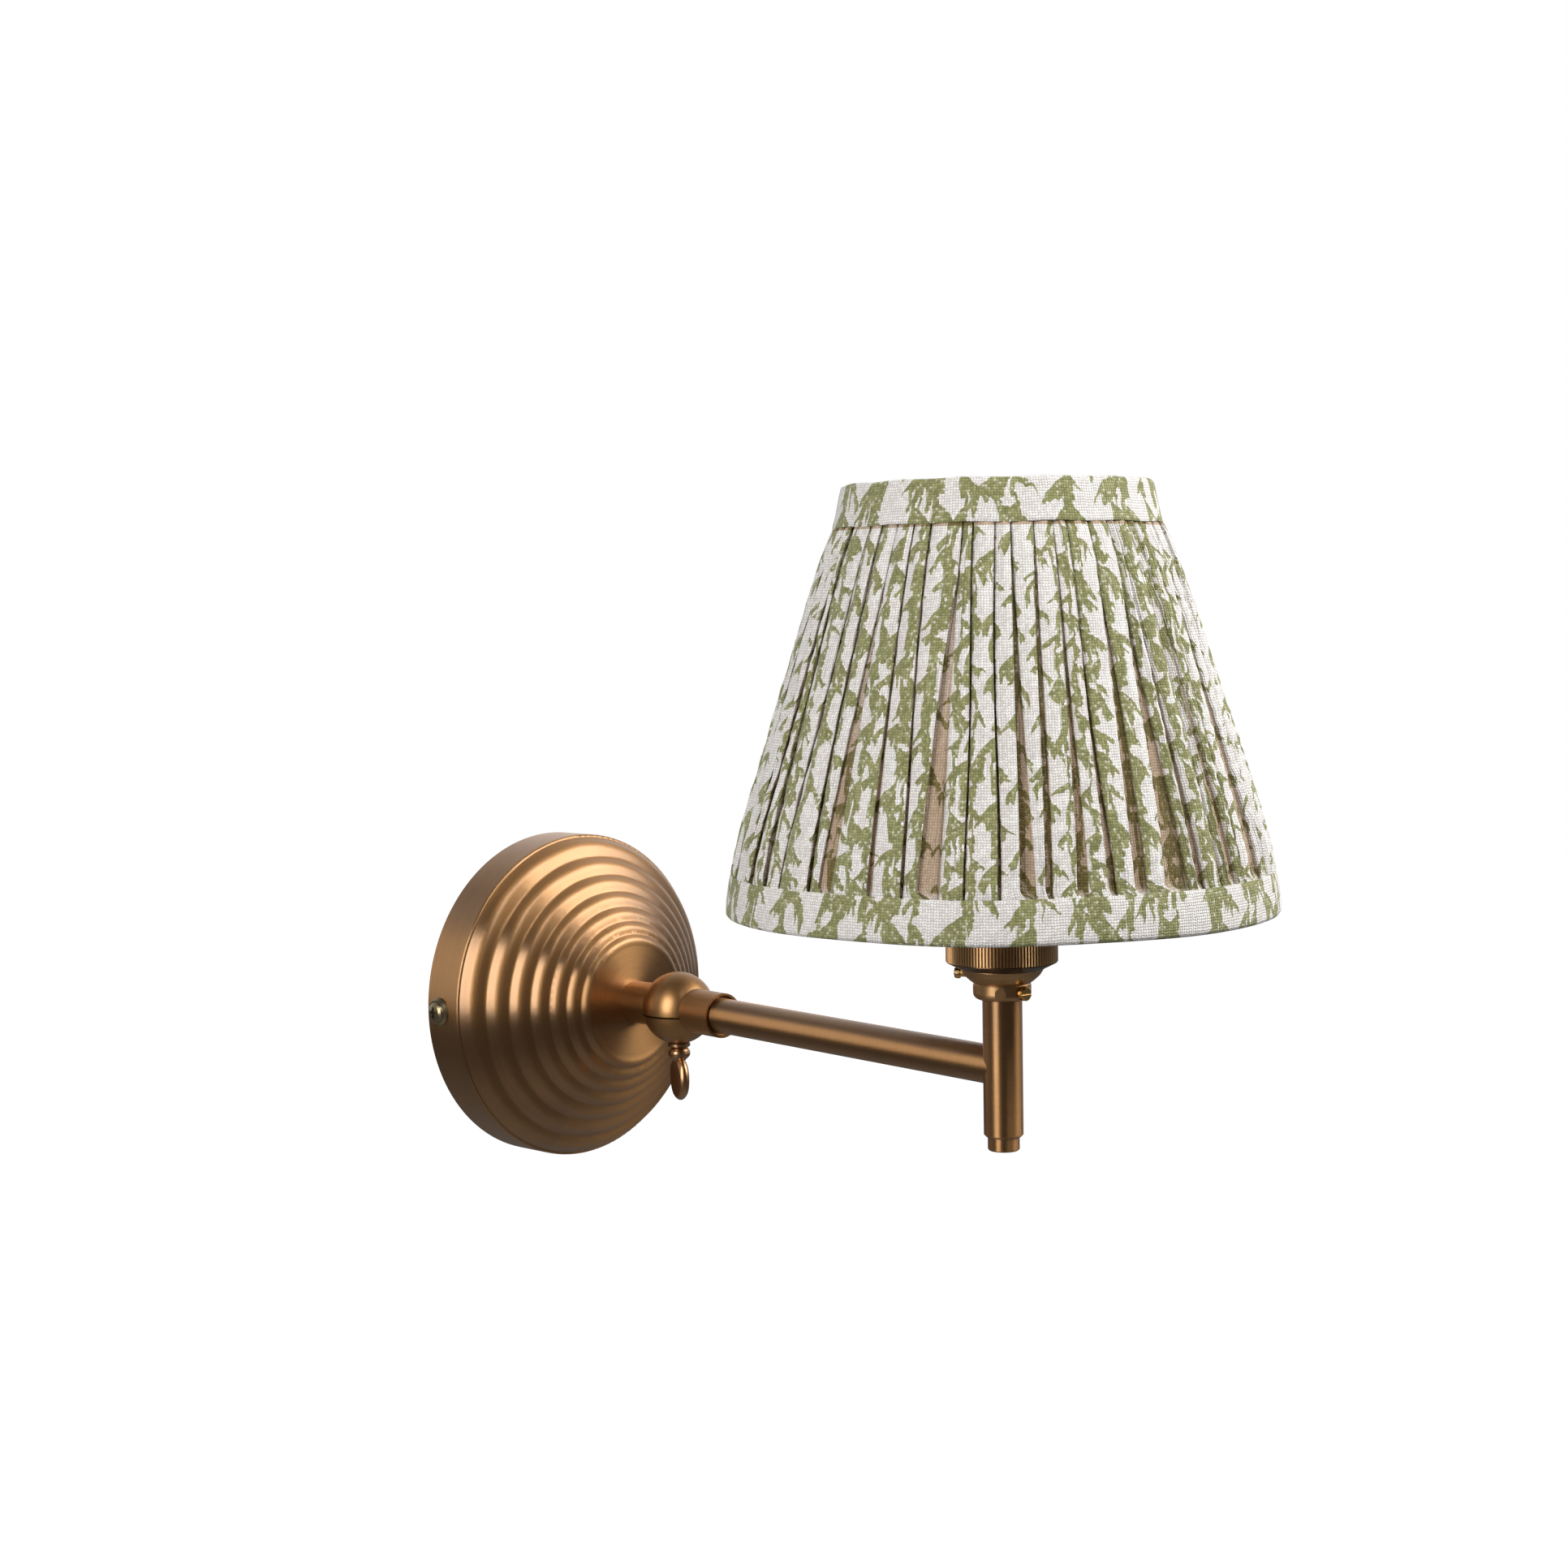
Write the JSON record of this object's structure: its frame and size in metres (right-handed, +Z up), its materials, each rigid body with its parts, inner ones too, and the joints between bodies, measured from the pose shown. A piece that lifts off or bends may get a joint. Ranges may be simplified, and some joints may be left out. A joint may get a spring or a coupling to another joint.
{
  "type": "swing arm wall sconce",
  "caption": "Wall light: stepped round backplate, clamped ball knuckle, swinging arm tube with an upright lampholder, and a gathered fabric shade.",
  "frame": {"origin": "centre of the bracket's back face, on the wall behind the middle of the backplate", "axes": "+Y into the wall, so the light stands out along -Y; +Z up; +X to the right as the light is looked at"},
  "size_m": [0.1999, 0.3743, 0.2818],
  "materials": {
    "satin_brass": "brushed antique brass, lacquered",
    "lampholder_brass": "old brass, dull",
    "bright_brass": "plain brass",
    "bronzed_steel": "bronze plated steel",
    "zinc_steel": "zinc plated",
    "white_nylon": "moulded",
    "fibre": "pressed fibre",
    "steatite": "unglazed",
    "bulb_metal": "plain",
    "opal_glass": "opal",
    "white_wire": "white coated wire",
    "printed_linen": "off-white linen with a sage green print",
    "lining_cloth": "laminated cotton",
    "brown_insulation": "plain",
    "blue_insulation": "plain",
    "earth_insulation": "green with a yellow stripe"
  },
  "bodies": {
    "wall_base": {"backplate_cover": "satin_brass", "wall_bracket": "zinc_steel", "rim_screws": "bronzed_steel", "rim_screw_washers": "bronzed_steel", "bracket_earth_screw": "bright_brass", "earth_ring_tag": "zinc_steel", "terminal_block": "white_nylon", "terminal_screws": "bright_brass", "spreader_plate": "zinc_steel", "spring_washer": "zinc_steel", "nipple_locknut": "zinc_steel", "knuckle_nipple": "zinc_steel", "knuckle_upper": "satin_brass", "friction_washer": "fibre", "live_lead_wall": "brown_insulation", "neutral_lead_wall": "blue_insulation", "earth_lead_wall": "earth_insulation"},
    "swing_arm": {"knuckle_lower": "satin_brass", "arm_tube": "satin_brass", "stem_tube": "satin_brass", "stem_end_cap": "satin_brass", "stem_bush": "bright_brass", "lampholder_nipple": "zinc_steel", "lampholder_cap": "lampholder_brass", "lampholder_grub_screw": "bright_brass", "lampholder_earth_screw": "bright_brass", "lampholder_union_ring": "lampholder_brass", "lampholder_barrel": "lampholder_brass", "lampholder_insert": "steatite", "lampholder_terminals": "bright_brass", "lampholder_screw_shell": "bright_brass", "lampholder_contact": "bright_brass", "bulb_cap": "bulb_metal", "bulb_globe": "opal_glass", "shade_ring_seat": "lampholder_brass", "carrier_ring": "white_wire", "carrier_arms": "white_wire", "shade_bottom_wire": "white_wire", "shade_top_wire": "white_wire", "shade_cover": "printed_linen", "shade_lining": "lining_cloth", "shade_bottom_band": "printed_linen", "shade_top_band": "printed_linen", "live_lead_arm": "brown_insulation", "neutral_lead_arm": "blue_insulation", "earth_lead_arm": "earth_insulation"},
    "wing_screw": {"wing_screw": "satin_brass"},
    "shade_clamp": {"shade_ring_clamp": "lampholder_brass"}
  },
  "joints": [
    {"name": "arm_swing", "type": "hinge", "parent": "wall_base", "child": "swing_arm", "pos_m": [0, -0.07994, 0], "axis": [0, 0, 1], "range_deg": [-73.3, 86.6]},
    {"name": "wing_screw_turn", "type": "hinge", "parent": "wall_base", "child": "wing_screw", "pos_m": [0, -0.07994, 0], "axis": [0, 0, -1], "range_deg": [0, 360]},
    {"name": "shade_clamp_turn", "type": "hinge", "parent": "swing_arm", "child": "shade_clamp", "pos_m": [-0.02274, -0.27437, 0.062], "axis": [0, 0, 1], "range_deg": [0, 360]}
  ]
}
